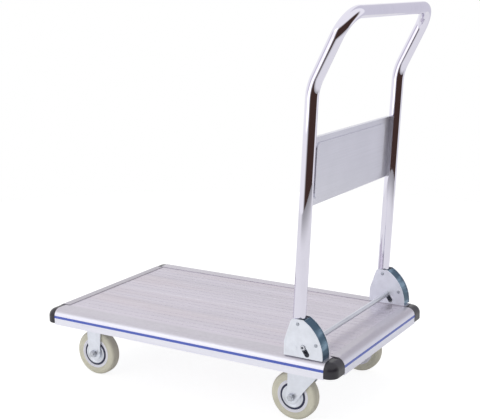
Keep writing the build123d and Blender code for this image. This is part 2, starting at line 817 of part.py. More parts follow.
def handle_tube():
    path = handle_path()
    tube = round_bar(path, tube_radius) - round_bar(path, tube_radius - tube_wall)
    for y in (-leg_y, leg_y):
        tube -= foot_trim(y, foot_radius)
        tube -= across(pivot_x, pivot_z, pin_radius + running_clearance, y - 20, y + 20)
    return tube


def on_leg(height):
    """The frame of a piece fixed to the legs: its Z runs up along them."""
    return Pos(leg_x(height), 0, height) * Rot(0, handle_lean, 0)


def foot_plug(y):
    """The plug in a leg's foot that bears on the pin."""
    length = 42.0
    plug = on_leg(pivot_z) * Pos(0, y, length / 2 - 15.0) * Cylinder(tube_radius - tube_wall, length)
    plug -= foot_trim(y, foot_radius - 1.0)
    return plug - across(pivot_x, pivot_z, pin_radius + running_clearance, y - 20, y + 20)


def latch_plate(y):
    """The steel lug behind a leg's foot that rests over the release bar."""
    low = bar_rest_z + bar_radius + 0.4
    outline = Polyline((pivot_x + 6, low), (bar_rest_x + 7, low), (bar_rest_x + 9, low + 4),
                       (bar_rest_x - 1, low + 17), (pivot_x + 6, low + 21), close=True)
    lug = plate_in_xz(make_face(outline), y - 2.5, y + 2.5)
    leg = on_leg(pivot_z + 30) * Pos(0, y, 0) * Cylinder(tube_radius, 120)
    return lug - leg


def back_panel():
    """The pressed sheet between the legs: raised field, turned ends and rolled top and bottom edges."""
    height = panel_top - panel_bottom
    reach = leg_y - tube_radius + 0.4
    mid = -panel_set_back
    half = panel_thickness / 2
    step = 2.0
    lip = 7.0

    def upright_slab(sketch, x0, x1):
        return extrude(Plane.YZ.offset(x0) * sketch, amount=x1 - x0)

    def field(grow):
        return RectangleRounded(320 + 2 * grow, height - 25 + 2 * grow, 12 + grow)

    sheet_size = Rectangle(2 * reach, height)
    panel = upright_slab(sheet_size - field(0), mid - half, mid + half)
    panel += upright_slab(field(panel_thickness) - field(0), mid - half, mid + step + half)
    panel += upright_slab(field(panel_thickness), mid + step - half, mid + step + half)
    for side in (-1, 1):
        end = side * reach
        panel += block(mid - half, 2.0, end - side * panel_thickness, end, -height / 2, height / 2)
        edge = side * height / 2
        panel += block(mid - half - lip, mid + half, -reach, reach, edge - side * panel_thickness, edge)
    panel = on_leg((panel_top + panel_bottom) / 2) * panel
    for y in (-leg_y, leg_y):
        panel -= on_leg((panel_top + panel_bottom) / 2) * Pos(0, y, 0) * Cylinder(tube_radius, height + 20)
    return panel


def make_handle():
    save("handle_tube", handle_tube())
    save("handle_foot_plugs", foot_plug(-leg_y), foot_plug(leg_y))
    save("latch_plates", latch_plate(-leg_y), latch_plate(leg_y))
    save("back_panel", back_panel())


# ---------------------------------------------------------------- release bar

def make_release_bar():
    """The bar that both feet rest behind, with a clip inside each outer plate."""
    reach = leg_y + plate_outer + bar_overhang
    bar = across(bar_rest_x, bar_rest_z, bar_radius, -reach, reach)
    for end in (-reach, reach):
        bar -= across(bar_rest_x, bar_rest_z, 2.4, end, end * (1 - 10 / reach))
        rims = bar.edges().filter_by(GeomType.CIRCLE).filter_by_position(Axis.Y, end - 0.1, end + 0.1)
        bar = chamfer(rims.sort_by(SortBy.RADIUS)[-1:], 0.6)
    save("release_bar", bar)
    clips = []
    for side in (-1, 1):
        near = side * (leg_y + plate_inner - 1.3)
        far = side * (leg_y + plate_inner - 0.3)
        ring = across(bar_rest_x, bar_rest_z, clip_radius, near, far)
        clips.append(ring - across(bar_rest_x, bar_rest_z, bar_radius, near - side, far + side))
    save("release_bar_clips", *clips)


make_rails()
make_caps()
make_planks()
make_bearers()
make_wheels()
make_casters()
make_hinges()
make_handle()
make_release_bar()
print("deck middle at x =", round(deck_mid_x, 3), " pivot", round(pivot_x + deck_mid_x, 3), pivot_z)
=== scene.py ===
from math import cos, pi, radians, sin, tan

import bpy
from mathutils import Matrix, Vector


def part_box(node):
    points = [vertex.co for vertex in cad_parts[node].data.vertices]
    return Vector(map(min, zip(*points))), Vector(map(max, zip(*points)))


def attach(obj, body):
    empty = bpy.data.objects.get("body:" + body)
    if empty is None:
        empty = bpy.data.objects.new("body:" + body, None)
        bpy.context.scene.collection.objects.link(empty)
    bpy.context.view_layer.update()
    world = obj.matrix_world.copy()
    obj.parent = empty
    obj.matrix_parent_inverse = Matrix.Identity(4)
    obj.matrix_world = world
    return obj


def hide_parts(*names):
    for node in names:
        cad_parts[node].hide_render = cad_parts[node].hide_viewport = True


bl_info = {
    "name": "Folding Platform Cart",
    "version": (1, 1, 0),
    "blender": (4, 5, 0),
    "location": "View3D > Sidebar > Cart",
    "description": "Dresses the packed platform cart and sets its stage and camera",
    "category": "Object",
}

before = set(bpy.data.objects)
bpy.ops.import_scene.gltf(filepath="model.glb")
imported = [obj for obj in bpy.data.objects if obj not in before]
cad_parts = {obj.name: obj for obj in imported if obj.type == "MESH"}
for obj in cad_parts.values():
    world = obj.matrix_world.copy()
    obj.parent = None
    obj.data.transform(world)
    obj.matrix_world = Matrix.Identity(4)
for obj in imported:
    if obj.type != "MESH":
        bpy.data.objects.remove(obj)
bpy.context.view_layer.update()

MM = 0.001

# The cart's sides with the sign of their Y, and its wheels
SIDES = {"near": -1, "far": 1}
WHEELS = ("front_near", "front_far", "rear_near", "rear_far")

# Turns that bring a piece's top to the near side or the far side, or leave it as it is
FACE_NEAR = (pi / 2, 0, 0)
FACE_FAR = (-pi / 2, 0, 0)
UPRIGHT = (0, 0, 0)

# ---------------------------------------------------------------- shader maths

# Where a Mix node keeps its factor, its two colours and its colour result
MIX_FACTOR, MIX_FIRST, MIX_SECOND, MIX_COLOUR = 0, 6, 7, 2


class Number:
    """A number that varies over a surface: arithmetic on it adds the Math nodes."""

    def __init__(self, finish, socket):
        self.finish = finish
        self.socket = socket

    def _math(self, operation, first, second=None, clamp=False):
        settings = {"operation": operation, "use_clamp": clamp}
        values = {0: first} if second is None else {0: first, 1: second}
        return self.finish.node("ShaderNodeMath", settings, values).number()

    def __add__(self, other):
        return self._math("ADD", self, other)

    def __radd__(self, other):
        return self._math("ADD", other, self)

    def __sub__(self, other):
        return self._math("SUBTRACT", self, other)

    def __rsub__(self, other):
        return self._math("SUBTRACT", other, self)

    def __mul__(self, other):
        return self._math("MULTIPLY", self, other)

    def __rmul__(self, other):
        return self._math("MULTIPLY", other, self)

    def __pow__(self, other):
        return self._math("POWER", self, other)

    def __gt__(self, other):
        return self._math("GREATER_THAN", self, other)

    def clamped(self):
        """Kept between 0 and 1."""
        return self._math("ADD", self, 0.0, clamp=True)

    def between(self, low, high):
        """0 below low, 1 above high, and smooth in between."""
        settings = {"interpolation_type": "SMOOTHSTEP"}
        return self.finish.node("ShaderNodeMapRange", settings, {0: self, 1: low, 2: high}).number()

    def zone(self, low, low_end, high_end, high):
        """1 from low_end to high_end, fading to 0 at low and at high."""
        return self.between(low, low_end) * (1.0 - self.between(high_end, high))


class Node:
    """One shader node, with its outputs as numbers, colours or vectors."""

    def __init__(self, finish, node):
        self.finish = finish
        self.node = node

    def number(self, output=0):
        return Number(self.finish, self.node.outputs[output])

    def out(self, output=0):
        return self.node.outputs[output]


class Tree:
    """A node tree in the making."""

    def __init__(self, tree):
        self.tree = tree

    def node(self, kind, settings=None, values=None):
        """Add a node: its settings first, then the values or links of its sockets."""
        node = self.tree.nodes.new(kind)
        for key, value in (settings or {}).items():
            setattr(node, key, value)
        for key, value in (values or {}).items():
            self.feed(node.inputs[key], value)
        return Node(self, node)

    def feed(self, socket, value):
        """Link a socket to what is worked out, or set it."""
        if isinstance(value, Number):
            self.tree.links.new(value.socket, socket)
        elif isinstance(value, bpy.types.NodeSocket):
            self.tree.links.new(value, socket)
        else:
            socket.default_value = value

    def mix(self, factor, first, second):
        """A colour between two colours."""
        values = {MIX_FACTOR: factor, MIX_FIRST: colour(first), MIX_SECOND: colour(second)}
        return self.node("ShaderNodeMix", {"data_type": "RGBA"}, values).out(MIX_COLOUR)

    def split(self, vector):
        """The X, Y and Z of a vector."""
        parts = self.node("ShaderNodeSeparateXYZ", {}, {0: vector})
        return parts.number(0), parts.number(1), parts.number(2)

    def seen(self):
        """1 where the camera sees a surface, straight or in polished metal or glass."""
        path = self.node("ShaderNodeLightPath")
        straight = path.number("Is Camera Ray") + path.number("Is Glossy Ray")
        return (straight + path.number("Is Transmission Ray")).clamped()

    def mirrored(self):
        """1 where polished metal reflects a surface."""
        return self.node("ShaderNodeLightPath").number("Is Glossy Ray")

    def bearing_zone(self, x, y, *limits):
        """1 within a zone of bearings; its four limits are in degrees from the near side."""
        settings = {"operation": "ARCTAN2"}
        bearing = self.node("ShaderNodeMath", settings, {0: x, 1: -1.0 * y}).number()
        return bearing.zone(*map(radians, limits))


class Finish(Tree):
    """A material in the making."""

    def __init__(self, name):
        self.material = bpy.data.materials.new(name)
        self.material.use_nodes = True
        super().__init__(self.material.node_tree)
        self.shader = self.tree.nodes["Principled BSDF"]
        self.place = self.node("ShaderNodeTexCoord").out("Object")

    def set(self, **values):
        """Set the shader's own sockets."""
        for key, value in values.items():
            self.feed(self.shader.inputs[SOCKETS[key]], value)
        return self.material

    def noise(self, scale, detail=3.0, stretch=(1, 1, 1), roughness=0.55):
        """Clouds; stretch scales the surface's place along X, Y and Z first."""
        place = self.node("ShaderNodeMapping", {}, {"Vector": self.place, "Scale": stretch}).out()
        values = {"Vector": place, "Scale": scale, "Detail": detail, "Roughness": roughness}
        return self.node("ShaderNodeTexNoise", {}, values).number()

    def bump(self, height, distance, strength=1.0):
        """A normal that follows a height; distance is in metres."""
        values = {"Height": height, "Distance": distance, "Strength": strength}
        return self.node("ShaderNodeBump", {}, values).out()

    def axes(self):
        """The surface's X, Y and Z, in metres."""
        return self.split(self.place)

    def from_axle(self, centre):
        """The distance from an axle along Y, in metres."""
        x, _, z = self.axes()
        return ((x - centre[0]) ** 2 + (z - centre[2]) ** 2) ** 0.5


SOCKETS = {
    "colour": "Base Color",
    "roughness": "Roughness",
    "metallic": "Metallic",
    "normal": "Normal",
    "specular": "Specular IOR Level",
}


def grey(level):
    return (level, level, level, 1.0)


def linear(level):
    """A display level from 0 to 1 as linear light."""
    return level / 12.92 if level <= 0.04045 else ((level + 0.055) / 1.055) ** 2.4


def colour(value):
    """A colour of three display levels as a shader colour; links pass through."""
    if isinstance(value, (Number, bpy.types.NodeSocket)):
        return value
    return (linear(value[0]), linear(value[1]), linear(value[2]), 1.0)


def darker(value, amount):
    return tuple(level * (1 - amount) for level in value)


def lighter(value, amount):
    return tuple(min(1.0, level * (1 + amount)) for level in value)


def tinted(value, *factors):
    """A colour with each of its levels multiplied by its own factor."""
    return tuple(level * factor for level, factor in zip(value, factors))


# ---------------------------------------------------------------- what a user may change

def shade(name, default, description):
    return bpy.props.FloatVectorProperty(name=name, description=description, default=default,
                                         size=3, subtype="COLOR_GAMMA", min=0.0, max=1.0)


def length(name, default, description):
    return bpy.props.FloatProperty(name=name, description=description, default=default,
                                   unit="LENGTH")


class CartColours(bpy.types.PropertyGroup):
    """The finishes' colours, as display levels"""
    planks: shade("Planks", (0.815, 0.795, 0.835), "Anodised aluminium of the deck planks")
    # The rail tops' grey and the rail sides' bright colour are shaded and lit copies of one
    # anodised finish; the sides' colour is a painted highlight
    rails: shade("Rail tops", (0.79, 0.775, 0.81), "Anodised aluminium on top of the rails")
    painted_light_rail_sides: shade("Rail sides", (0.945, 0.945, 0.995), "Bright sides of the rails")
    stripe: shade("Stripe", (0.32, 0.40, 0.76), "Plastic insert in the rails")
    caps: shade("Caps", (0.158, 0.148, 0.180), "Corner caps")
    zinc: shade("Zinc", (0.95, 0.965, 1.0), "Zinc-plated pressings")
    guard: shade("Guard", (0.30, 0.42, 0.51), "Passivated strip over each hinge")
    bar: shade("Release bar", (0.85, 0.86, 0.89), "Bar between the hinges")
    chrome: shade("Chrome", (0.90, 0.89, 0.94), "Plated handle tube")
    panel: shade("Panel", (0.86, 0.86, 0.90), "Plated back panel")
    tyres: shade("Tyres", (0.885, 0.870, 0.795), "Non-marking tyres")
    # The ring's dark navy is painted shade, for the shaded groove in each wheel's face
    ring: shade("Ring", (0.13, 0.14, 0.27), "Ring in each wheel")
    hub: shade("Hub", (0.92, 0.92, 0.95), "Wheel centres")


class CartSizes(bpy.types.PropertyGroup):
    """The handle's sizes and the floor's, in metres"""
    tube_radius: length("Tube radius", 12.7 * MM, "Outer radius of the handle tube")
    tube_wall: length("Tube wall", 1.5 * MM, "Wall of the handle tube")
    bend_radius: length("Bend radius", 100 * MM, "Radius of the handle's lower bends")
    corner_radius: length("Corner radius", 50 * MM, "Radius of the grip's corners")
    floor_radius: length("Floor radius", 2.05, "Radius of the floor under the cart")


def shade_of(name):
    """One of the user's colours, as three display levels."""
    return tuple(getattr(bpy.context.scene.cart_colours, name))


def sizes():
    return bpy.context.scene.cart_sizes


# ---------------------------------------------------------------- finishes

# Heights on the deck, radii and the bead's colour on a tyre, and the fineness of plastic's grain
PLANK_TOP = 153.8 * MM
# Depth below the plank tops where the grooves' painted light starts
GROOVE_START = 0.1 * MM
# Heights of the band where the rails' painted highlight on shoulder and side gives way to their
# greyer tops
PAINTED_HIGHLIGHT_LOW = 144.5 * MM
PAINTED_HIGHLIGHT_HIGH = 151.5 * MM
BEAD_RADIUS = 34.3 * MM
BEAD_FADE = 0.6 * MM
BEAD_COLOUR = (0.93, 0.925, 0.965)
TREAD_START = 45.5 * MM
TREAD_END = 49.5 * MM
PLASTIC_CELLS = 1400.0


def plank_aluminium(name, base):
    """Satin anodised metal with fine draw lines along X, warmer bands, and painted light that makes
    the grooves paler and less metallic, against the shade in them.
    """
    finish = Finish(name)
    height = finish.axes()[2]
    fine = finish.noise(1.0, detail=4.0, stretch=(3, 900, 900))
    broad = finish.noise(1.0, detail=3.0, stretch=(1.1, 24, 24))
    warm = finish.noise(1.0, detail=2.0, stretch=(1.4, 13, 13)).between(0.47, 0.66)
    cloud = finish.noise(9.0)
    tone = (fine * 0.3 + broad * 0.5 + cloud * 0.2).between(0.3, 0.7)
    metal = finish.mix(tone, darker(base, 0.045), lighter(base, 0.045))
    metal = finish.mix(warm * 0.5, metal, tinted(base, 1.0, 0.98, 0.965))
    # Painted light: below the plank tops the grooves get a paler colour and less metal, so their
    # shade doesn't show
    groove = (PLANK_TOP - height) > GROOVE_START
    metal = finish.mix(groove * 0.6, metal, lighter(base, 0.15))
    return finish.set(colour=metal, metallic=0.85 - 0.45 * groove,
                      roughness=0.36 + 0.14 * cloud, normal=finish.bump(fine, 0.08 * MM, 0.3))


def rail_aluminium(name, top, sides):
    """Anodised rail: greyer on its top, with a painted highlight that makes its shoulder and side
    brighter and cooler.
    """
    finish = Finish(name)
    height = finish.axes()[2]
    fine = finish.noise(1.0, detail=3.0, stretch=(120, 120, 900))
    broad = finish.noise(1.0, detail=2.0, stretch=(5, 5, 60))
    tone = (fine * 0.4 + broad * 0.6).between(0.3, 0.7)
    # Painted highlight: below this band the shoulder and side take the brighter, cooler colour;
    # above it the top keeps the greyer one
    upper = height.between(PAINTED_HIGHLIGHT_LOW, PAINTED_HIGHLIGHT_HIGH)
    dull = finish.mix(tone, darker(top, 0.03), lighter(top, 0.03))
    painted_highlight = finish.mix(tone, darker(sides, 0.025), lighter(sides, 0.025))
    return finish.set(colour=finish.mix(upper, painted_highlight, dull), metallic=0.85,
                      roughness=0.36 + 0.1 * broad, normal=finish.bump(fine, 0.05 * MM, 0.25))


def zinc_plate(name, base, roughness=0.30):
    """Bright zinc plate: faint spangle, rolling lines and handling marks."""
    finish = Finish(name)
    spangle = finish.noise(60.0, detail=2.0)
    marks = finish.noise(14.0, detail=6.0, roughness=0.7)
    tone = (spangle * 0.5 + marks * 0.5).between(0.35, 0.7)
    return finish.set(colour=finish.mix(tone, darker(base, 0.05), base), metallic=0.75,
                      roughness=roughness + 0.16 * marks,
                      normal=finish.bump(spangle, 0.06 * MM, 0.2))


def chrome_plate(name, base):
    """Mirror chrome with faint smears and wipe marks."""
    finish = Finish(name)
    smear = finish.noise(22.0, detail=5.0, stretch=(1, 1, 0.35))
    haze = smear.between(0.5, 0.85)
    metal = finish.mix(haze, base, darker(base, 0.05))
    return finish.set(colour=metal, metallic=1.0, roughness=0.03 + 0.06 * haze)


def satin_panel(name, base):
    """Plated sheet, brushed along Y, with soft clouds."""
    finish = Finish(name)
    brush = finish.noise(1.0, detail=3.0, stretch=(300, 6, 300))
    cloud = finish.noise(7.0, detail=4.0)
    tone = (brush * 0.3 + cloud * 0.7).between(0.35, 0.68)
    metal = finish.mix(tone, darker(base, 0.025), lighter(base, 0.015))
    return finish.set(colour=metal, metallic=0.95, roughness=0.26 + 0.12 * cloud,
                      normal=finish.bump(brush, 0.02 * MM, 0.1))


def passivated_strip(name, base):
    """Blue-grey passivated steel with a few paler patches that lie across the strip."""
    finish = Finish(name)
    patch = finish.noise(1.0, detail=3.0, stretch=(45, 9, 60)).between(0.46, 0.66)
    streak = finish.noise(1.0, detail=2.0, stretch=(30, 220, 30))
    metal = finish.mix(patch * 0.75, darker(base, 0.10), tinted(base, 1.9, 1.62, 1.5))
    return finish.set(colour=metal, metallic=0.8, roughness=0.30 + 0.15 * streak)


def moulded_plastic(name, base, grain=0.05 * MM, roughness=0.42):
    """Moulded plastic with a fine leather-like grain and scuffed lighter patches."""
    finish = Finish(name)
    values = {"Vector": finish.place, "Scale": PLASTIC_CELLS}
    cells = finish.node("ShaderNodeTexVoronoi", {}, values).number()
    scuff = finish.noise(30.0, detail=6.0, roughness=0.7).between(0.55, 0.8)
    worn = tuple(min(1.0, level * 1.3 + 0.02) for level in base)
    return finish.set(colour=finish.mix(scuff * 0.3, base, worn), specular=0.5,
                      roughness=roughness + 0.15 * scuff, normal=finish.bump(cells, grain, 0.5))


def tyre_rubber(name, base, centre):
    """Cream rubber, cloudy, with a dustier tread and a pale bead next to the wheel's core."""
    finish = Finish(name)
    cloud = finish.noise(28.0, detail=4.0)
    speck = finish.noise(420.0, detail=2.0)
    radius = finish.from_axle(centre)
    tread = radius.between(TREAD_START, TREAD_END)
    bead = radius.between(BEAD_RADIUS - BEAD_FADE, BEAD_RADIUS)
    tone = (cloud * 0.7 + speck * 0.3).between(0.35, 0.72)
    rubber = finish.mix(tone, darker(base, 0.06), base)
    rubber = finish.mix(tread * 0.5, rubber, tinted(base, 0.86, 0.85, 0.85))
    rubber = finish.mix(bead, BEAD_COLOUR, rubber)
    return finish.set(colour=rubber, roughness=0.52 + 0.2 * cloud, specular=0.4,
                      normal=finish.bump(speck, 0.08 * MM, 0.3))


def machined_steel(name, base, roughness=0.28):
    """Plated fasteners with tiny tool marks."""
    finish = Finish(name)
    mark = finish.noise(240.0, detail=3.0)
    metal = finish.mix(mark.between(0.35, 0.7), darker(base, 0.10), base)
    return finish.set(colour=metal, metallic=0.9, roughness=roughness + 0.15 * mark,
                      normal=finish.bump(mark, 0.04 * MM, 0.25))


def drawn_bar(name, base):
    """Plated bar, drawn along Y, with long soft streaks."""
    finish = Finish(name)
    streak = finish.noise(1.0, detail=3.0, stretch=(260, 5, 260))
    wear = finish.noise(1.0, detail=4.0, stretch=(40, 14, 40)).between(0.45, 0.75)
    metal = finish.mix(streak.between(0.3, 0.7), darker(base, 0.05), lighter(base, 0.03))
    metal = finish.mix(wear * 0.5, metal, darker(base, 0.10))
    return finish.set(colour=metal, metallic=0.9, roughness=0.34 + 0.1 * streak)


# ---------------------------------------------------------------- modelling

SMOOTH_ANGLE = radians(30)
DOUBLES = 0.005 * MM


def select_none():
    bpy.ops.object.select_all(action="DESELECT")


def select_only(*pieces):
    select_none()
    for piece in pieces:
        piece.select_set(True)
    bpy.context.view_layer.objects.active = pieces[0]


def named(name):
    """Name the new active object."""
    piece = bpy.context.object
    piece.name = name
    piece.data.name = name
    return piece


def apply_place():
    """Put the selected pieces' places, turns and scales into their meshes."""
    bpy.ops.object.transform_apply(location=True, rotation=True, scale=True)


def settle(piece, body, material):
    """Apply the piece's place, smooth it, and give it its finish and body."""
    select_only(piece)
    apply_place()
    bpy.ops.object.shade_smooth_by_angle(angle=SMOOTH_ANGLE)
    piece.data.materials.clear()
    piece.data.materials.append(material)
    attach(piece, body)


def repair_normals():
    """In edit mode: merge doubles and turn all faces outwards."""
    bpy.ops.mesh.select_all(action="SELECT")
    bpy.ops.mesh.remove_doubles(threshold=DOUBLES)
    bpy.ops.mesh.normals_make_consistent(inside=False)


def turned(name, profile, segments=64, ring=False):
    """Turn a profile, given as radius and height in mm, about the upright axis."""
    select_none()
    radius, height = profile[0]
    bpy.ops.mesh.primitive_circle_add(vertices=segments, radius=radius * MM,
                                      location=(0, 0, height * MM),
                                      fill_type="NOTHING" if ring else "NGON")
    piece = named(name)
    bpy.ops.object.mode_set(mode="EDIT")
    bpy.ops.mesh.select_all(action="SELECT")
    for next_radius, next_height in profile[1:]:
        rise = (0, 0, (next_height - height) * MM)
        bpy.ops.mesh.extrude_region_move(TRANSFORM_OT_translate={"value": rise})
        factor = next_radius / radius
        bpy.ops.transform.resize(value=(factor, factor, 1),
                                 center_override=(0, 0, next_height * MM))
        radius, height = next_radius, next_height
    repair_normals()
    bpy.ops.object.mode_set(mode="OBJECT")
    apply_place()
    return piece


def copies(name, original, places):
    """Copy a piece to each place and turn, delete the original, and join the copies."""
    made = []
    for place, turn in places:
        select_only(original)
        bpy.ops.object.duplicate()
        copy = bpy.context.object
        copy.location = place
        copy.rotation_euler = turn
        made.append(copy)
    select_only(original)
    bpy.ops.object.delete()
    select_only(*made)
    if len(made) > 1:
        bpy.ops.object.join()
    return named(name)


def joined(name, *pieces):
    """Apply the places of the pieces and join them into one."""
    select_only(*pieces)
    apply_place()
    bpy.ops.object.join()
    return named(name)


def cut_cross(piece, width, reach, low, high):
    """Cut a cross-shaped recess into the top of a screw's head; sizes in mm."""
    bars = []
    for across, along in ((width, reach), (reach, width)):
        select_none()
        bpy.ops.mesh.primitive_cube_add(size=1.0, location=(0, 0, (low + high) / 2 * MM))
        bar = bpy.context.object
        bar.scale = (across * MM, along * MM, (high - low) * MM)
        select_only(bar)
        apply_place()
        bars.append(bar)
    for bar in bars:
        select_only(piece)
        cut = piece.modifiers.new("Recess", "BOOLEAN")
        cut.object = bar
        cut.operation = "DIFFERENCE"
        cut.solver = "EXACT"
        bpy.ops.object.modifier_apply(modifier=cut.name)
    select_only(*bars)
    bpy.ops.object.delete()


def hexagon(name, flats, low, high, chamfer=0.5):
    """A hexagonal head or nut with eased edges; sizes in mm."""
    select_none()
    radius = flats / 2 / cos(pi / 6)
    bpy.ops.mesh.primitive_circle_add(vertices=6, radius=radius * MM, location=(0, 0, low * MM),
                                      fill_type="NGON")
    piece = named(name)
    bpy.ops.object.mode_set(mode="EDIT")
    bpy.ops.mesh.select_all(action="SELECT")
    bpy.ops.mesh.extrude_region_move(TRANSFORM_OT_translate={"value": (0, 0, (high - low) * MM)})
    repair_normals()
    bpy.ops.mesh.bevel(offset=chamfer * MM, segments=2, affect="EDGES")
    bpy.ops.object.mode_set(mode="OBJECT")
    apply_place()
    return piece


def domed(radius, height, base, steps=5):
    """A dome's profile in mm, from its rim up to a small flat."""
    profile = [(radius, base)]
    for step in range(1, steps + 1):
        angle = pi / 2 * step / (steps + 0.6)
        profile.append((radius * cos(angle), base + height * sin(angle)))
    return profile


def paint(material, *nodes):
    """Give CAD nodes a finish."""
    for name in nodes:
        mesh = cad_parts[name].data
        if not mesh.materials:
            mesh.materials.append(material)
        for index in range(len(mesh.materials)):
            mesh.materials[index] = material


def middle(node):
    """The middle of a CAD node's box."""
    low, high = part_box(node)
    return Vector([(a + b) / 2 for a, b in zip(low, high)])


# ---------------------------------------------------------------- deck

PLANKS = 4


class CART_OT_deck(bpy.types.Operator):
    """Planks, rails, stripes, caps and bearers"""
    bl_idname = "cart.deck"
    bl_label = "Deck"

    def execute(self, context):
        planks = [f"deck_plank_{number}" for number in range(1, PLANKS + 1)]
        paint(plank_aluminium("Plank aluminium", shade_of("planks")), *planks)

        top, sides = shade_of("rails"), shade_of("painted_light_rail_sides")
        # The end rails take darker copies as painted shade: their sides 5 % darker, and the front
        # rail's top 8 % darker too
        ends = darker(sides, 0.05)
        paint(rail_aluminium("Rail aluminium", top, sides), "side_rail_near", "side_rail_far")
        paint(rail_aluminium("Rear rail aluminium", top, ends), "end_rail_rear")
        paint(rail_aluminium("Front rail aluminium", darker(top, 0.08), ends), "end_rail_front")

        stripe = moulded_plastic("Stripe plastic", shade_of("stripe"), roughness=0.35)
        paint(stripe, "edge_stripes")
        cap = moulded_plastic("Cap plastic", shade_of("caps"), grain=0.1 * MM, roughness=0.3)
        paint(cap, *[f"corner_cap_{end}_{side}" for end in ("front", "rear") for side in SIDES])
        paint(zinc_plate("Bearer steel", darker(shade_of("zinc"), 0.15), 0.4), "cross_bearers")
        return {"FINISHED"}


# The rivets through a bearer, in mm: two into each side rail and one into a foot of each plank
RAIL_RIVET_Y = 198.0
RAIL_RIVET_STEP = 36.0
RAIL_RIVET = {"head": 4.5, "head_height": 1.2, "shank": 2.4}
FOOT_RIVET_Y = (27.9, 120.25)
FOOT_RIVET_LOW, FOOT_RIVET_HIGH = 131.5, 138.0
FOOT_RIVET = {"head": 2.5, "head_height": 1.0, "shank": 2.0}


class CART_OT_bearer_rivets(bpy.types.Operator):
    """Domed rivets that join the bearers to the rails and planks"""
    bl_idname = "cart.bearer_rivets"
    bl_label = "Bearer rivets"

    def execute(self, context):
        low, high = [corner[2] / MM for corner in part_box("bearer_rivets")]
        middles = [middle("front_fork_near").x, middle("swivel_plate_near").x]
        rail_places = [((x + step * MM, side * RAIL_RIVET_Y * MM, 0), UPRIGHT) for x in middles
                       for step in (-RAIL_RIVET_STEP, RAIL_RIVET_STEP) for side in SIDES.values()]
        foot_places = [((x, side * y * MM, 0), UPRIGHT) for x in middles
                       for y in FOOT_RIVET_Y for side in SIDES.values()]
        rail_rivet = turned("Rail rivet", rivet_profile(low, high, **RAIL_RIVET))
        rails = copies("Rail rivets", rail_rivet, rail_places)
        foot_profile = rivet_profile(FOOT_RIVET_LOW, FOOT_RIVET_HIGH, **FOOT_RIVET)
        feet = copies("Foot rivets", turned("Foot rivet", foot_profile), foot_places)
        rivets = joined("bearer_rivet_heads", rails, feet)
        steel = machined_steel("Bearer rivet steel", (0.80, 0.82, 0.85))
        settle(rivets, "platform", steel)
        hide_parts("bearer_rivets")
        return {"FINISHED"}


def rivet_profile(low, high, head, head_height, shank):
    """Both domed heads and the shank of a rivet, as radius and height in mm."""
    lower = [(radius, low + head_height - (height - head_height))
             for radius, height in reversed(domed(head, head_height, head_height))]
    upper = domed(head, head_height, high - head_height)
    return lower + [(shank, low + head_height), (shank, high - head_height)] + upper


# ---------------------------------------------------------------- hinges

class CART_OT_hinges(bpy.types.Operator):
    """Hinge plates, guards, pins, springs and the release bar"""
    bl_idname = "cart.hinges"
    bl_label = "Hinges"

    def execute(self, context):
        zinc = shade_of("zinc")
        plate = zinc_plate("Hinge zinc", zinc)
        for side in SIDES:
            paint(plate, f"hinge_outer_plate_{side}", f"hinge_inner_plate_{side}")
            strip = passivated_strip(f"Guard strip {side}", shade_of("guard"))
            paint(strip, f"hinge_guard_{side}")
        paint(plate, "hinge_pins")
        paint(machined_steel("Clip steel", darker(zinc, 0.2)), "release_bar_clips")
        paint(machined_steel("Spring steel", (0.42, 0.42, 0.44), 0.35), "release_springs")
        paint(moulded_plastic("Washer nylon", (0.85, 0.84, 0.80)), "hinge_washers")
        paint(drawn_bar("Release bar steel", shade_of("bar")), "release_bar")
        return {"FINISHED"}


# The hinges' fasteners, in mm: the legs' distance from the middle, the plates' outer faces from
# a leg's middle, the rivets' X and Z, the screws' X, Y and seat, their turns in radians, and
# their recesses with heights above the seat
LEG_Y = 203.5
PLATE_OUTER = 15.8
UPPER_RIVET = (261.35, 220.5)
LOWER_RIVET = (300.35, 184.2)
RIVET_HEAD = {"radius": 3.8, "height": 1.3}
RIVET_SHANK = 2.5
SPACER_RADIUS = 4.0
SPACER_REACH = 14.2
SCREW_X = (243.35, 265.35, 295.35)
SCREW_Y = (194.5, 202.0)
SCREW_SEAT = 156.6
SCREW_FIRST_TURN = 0.35
SCREW_NEXT_TURN = 0.9
RECESS_WIDTH = 0.7
RECESS_REACH = 3.6
RECESS_FLOOR, RECESS_END = 0.2, 2.0


class CART_OT_hinge_rivets(bpy.types.Operator):
    """Domed rivets through the hinge plates, and the spacer between them"""
    bl_idname = "cart.hinge_rivets"
    bl_label = "Hinge rivets"

    def execute(self, context):
        upper = domed(base=PLATE_OUTER, **RIVET_HEAD)
        lower = [(radius, -height) for radius, height in reversed(upper)]
        spacer = [(RIVET_SHANK, -PLATE_OUTER), (RIVET_SHANK, -SPACER_REACH),
                  (SPACER_RADIUS, -SPACER_REACH), (SPACER_RADIUS, SPACER_REACH),
                  (RIVET_SHANK, SPACER_REACH), (RIVET_SHANK, PLATE_OUTER)]
        long_rivet = turned("Long rivet", lower + spacer + upper, segments=40)
        x, z = LOWER_RIVET
        places = [((x * MM, side * LEG_Y * MM, z * MM), FACE_NEAR) for side in SIDES.values()]
        long_rivets = copies("Long rivets", long_rivet, places)

        clenched = [(2.6, -2.1), (3.2, -2.0), (3.2, -1.6), (RIVET_SHANK, -1.6), (RIVET_SHANK, 0)]
        short_profile = clenched + domed(base=0.0, **RIVET_HEAD)
        short_rivet = turned("Short rivet", short_profile, segments=40)
        x, z = UPPER_RIVET
        places = [((x * MM, (side * LEG_Y + reach) * MM, z * MM), face) for side in SIDES.values()
                  for reach, face in ((-PLATE_OUTER, FACE_NEAR), (PLATE_OUTER, FACE_FAR))]
        short_rivets = copies("Short rivets", short_rivet, places)

        rivets = joined("hinge_rivet_heads", long_rivets, short_rivets)
        steel = machined_steel("Hinge rivet steel", (0.74, 0.76, 0.80))
        settle(rivets, "platform", steel)
        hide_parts("hinge_rivets")
        return {"FINISHED"}


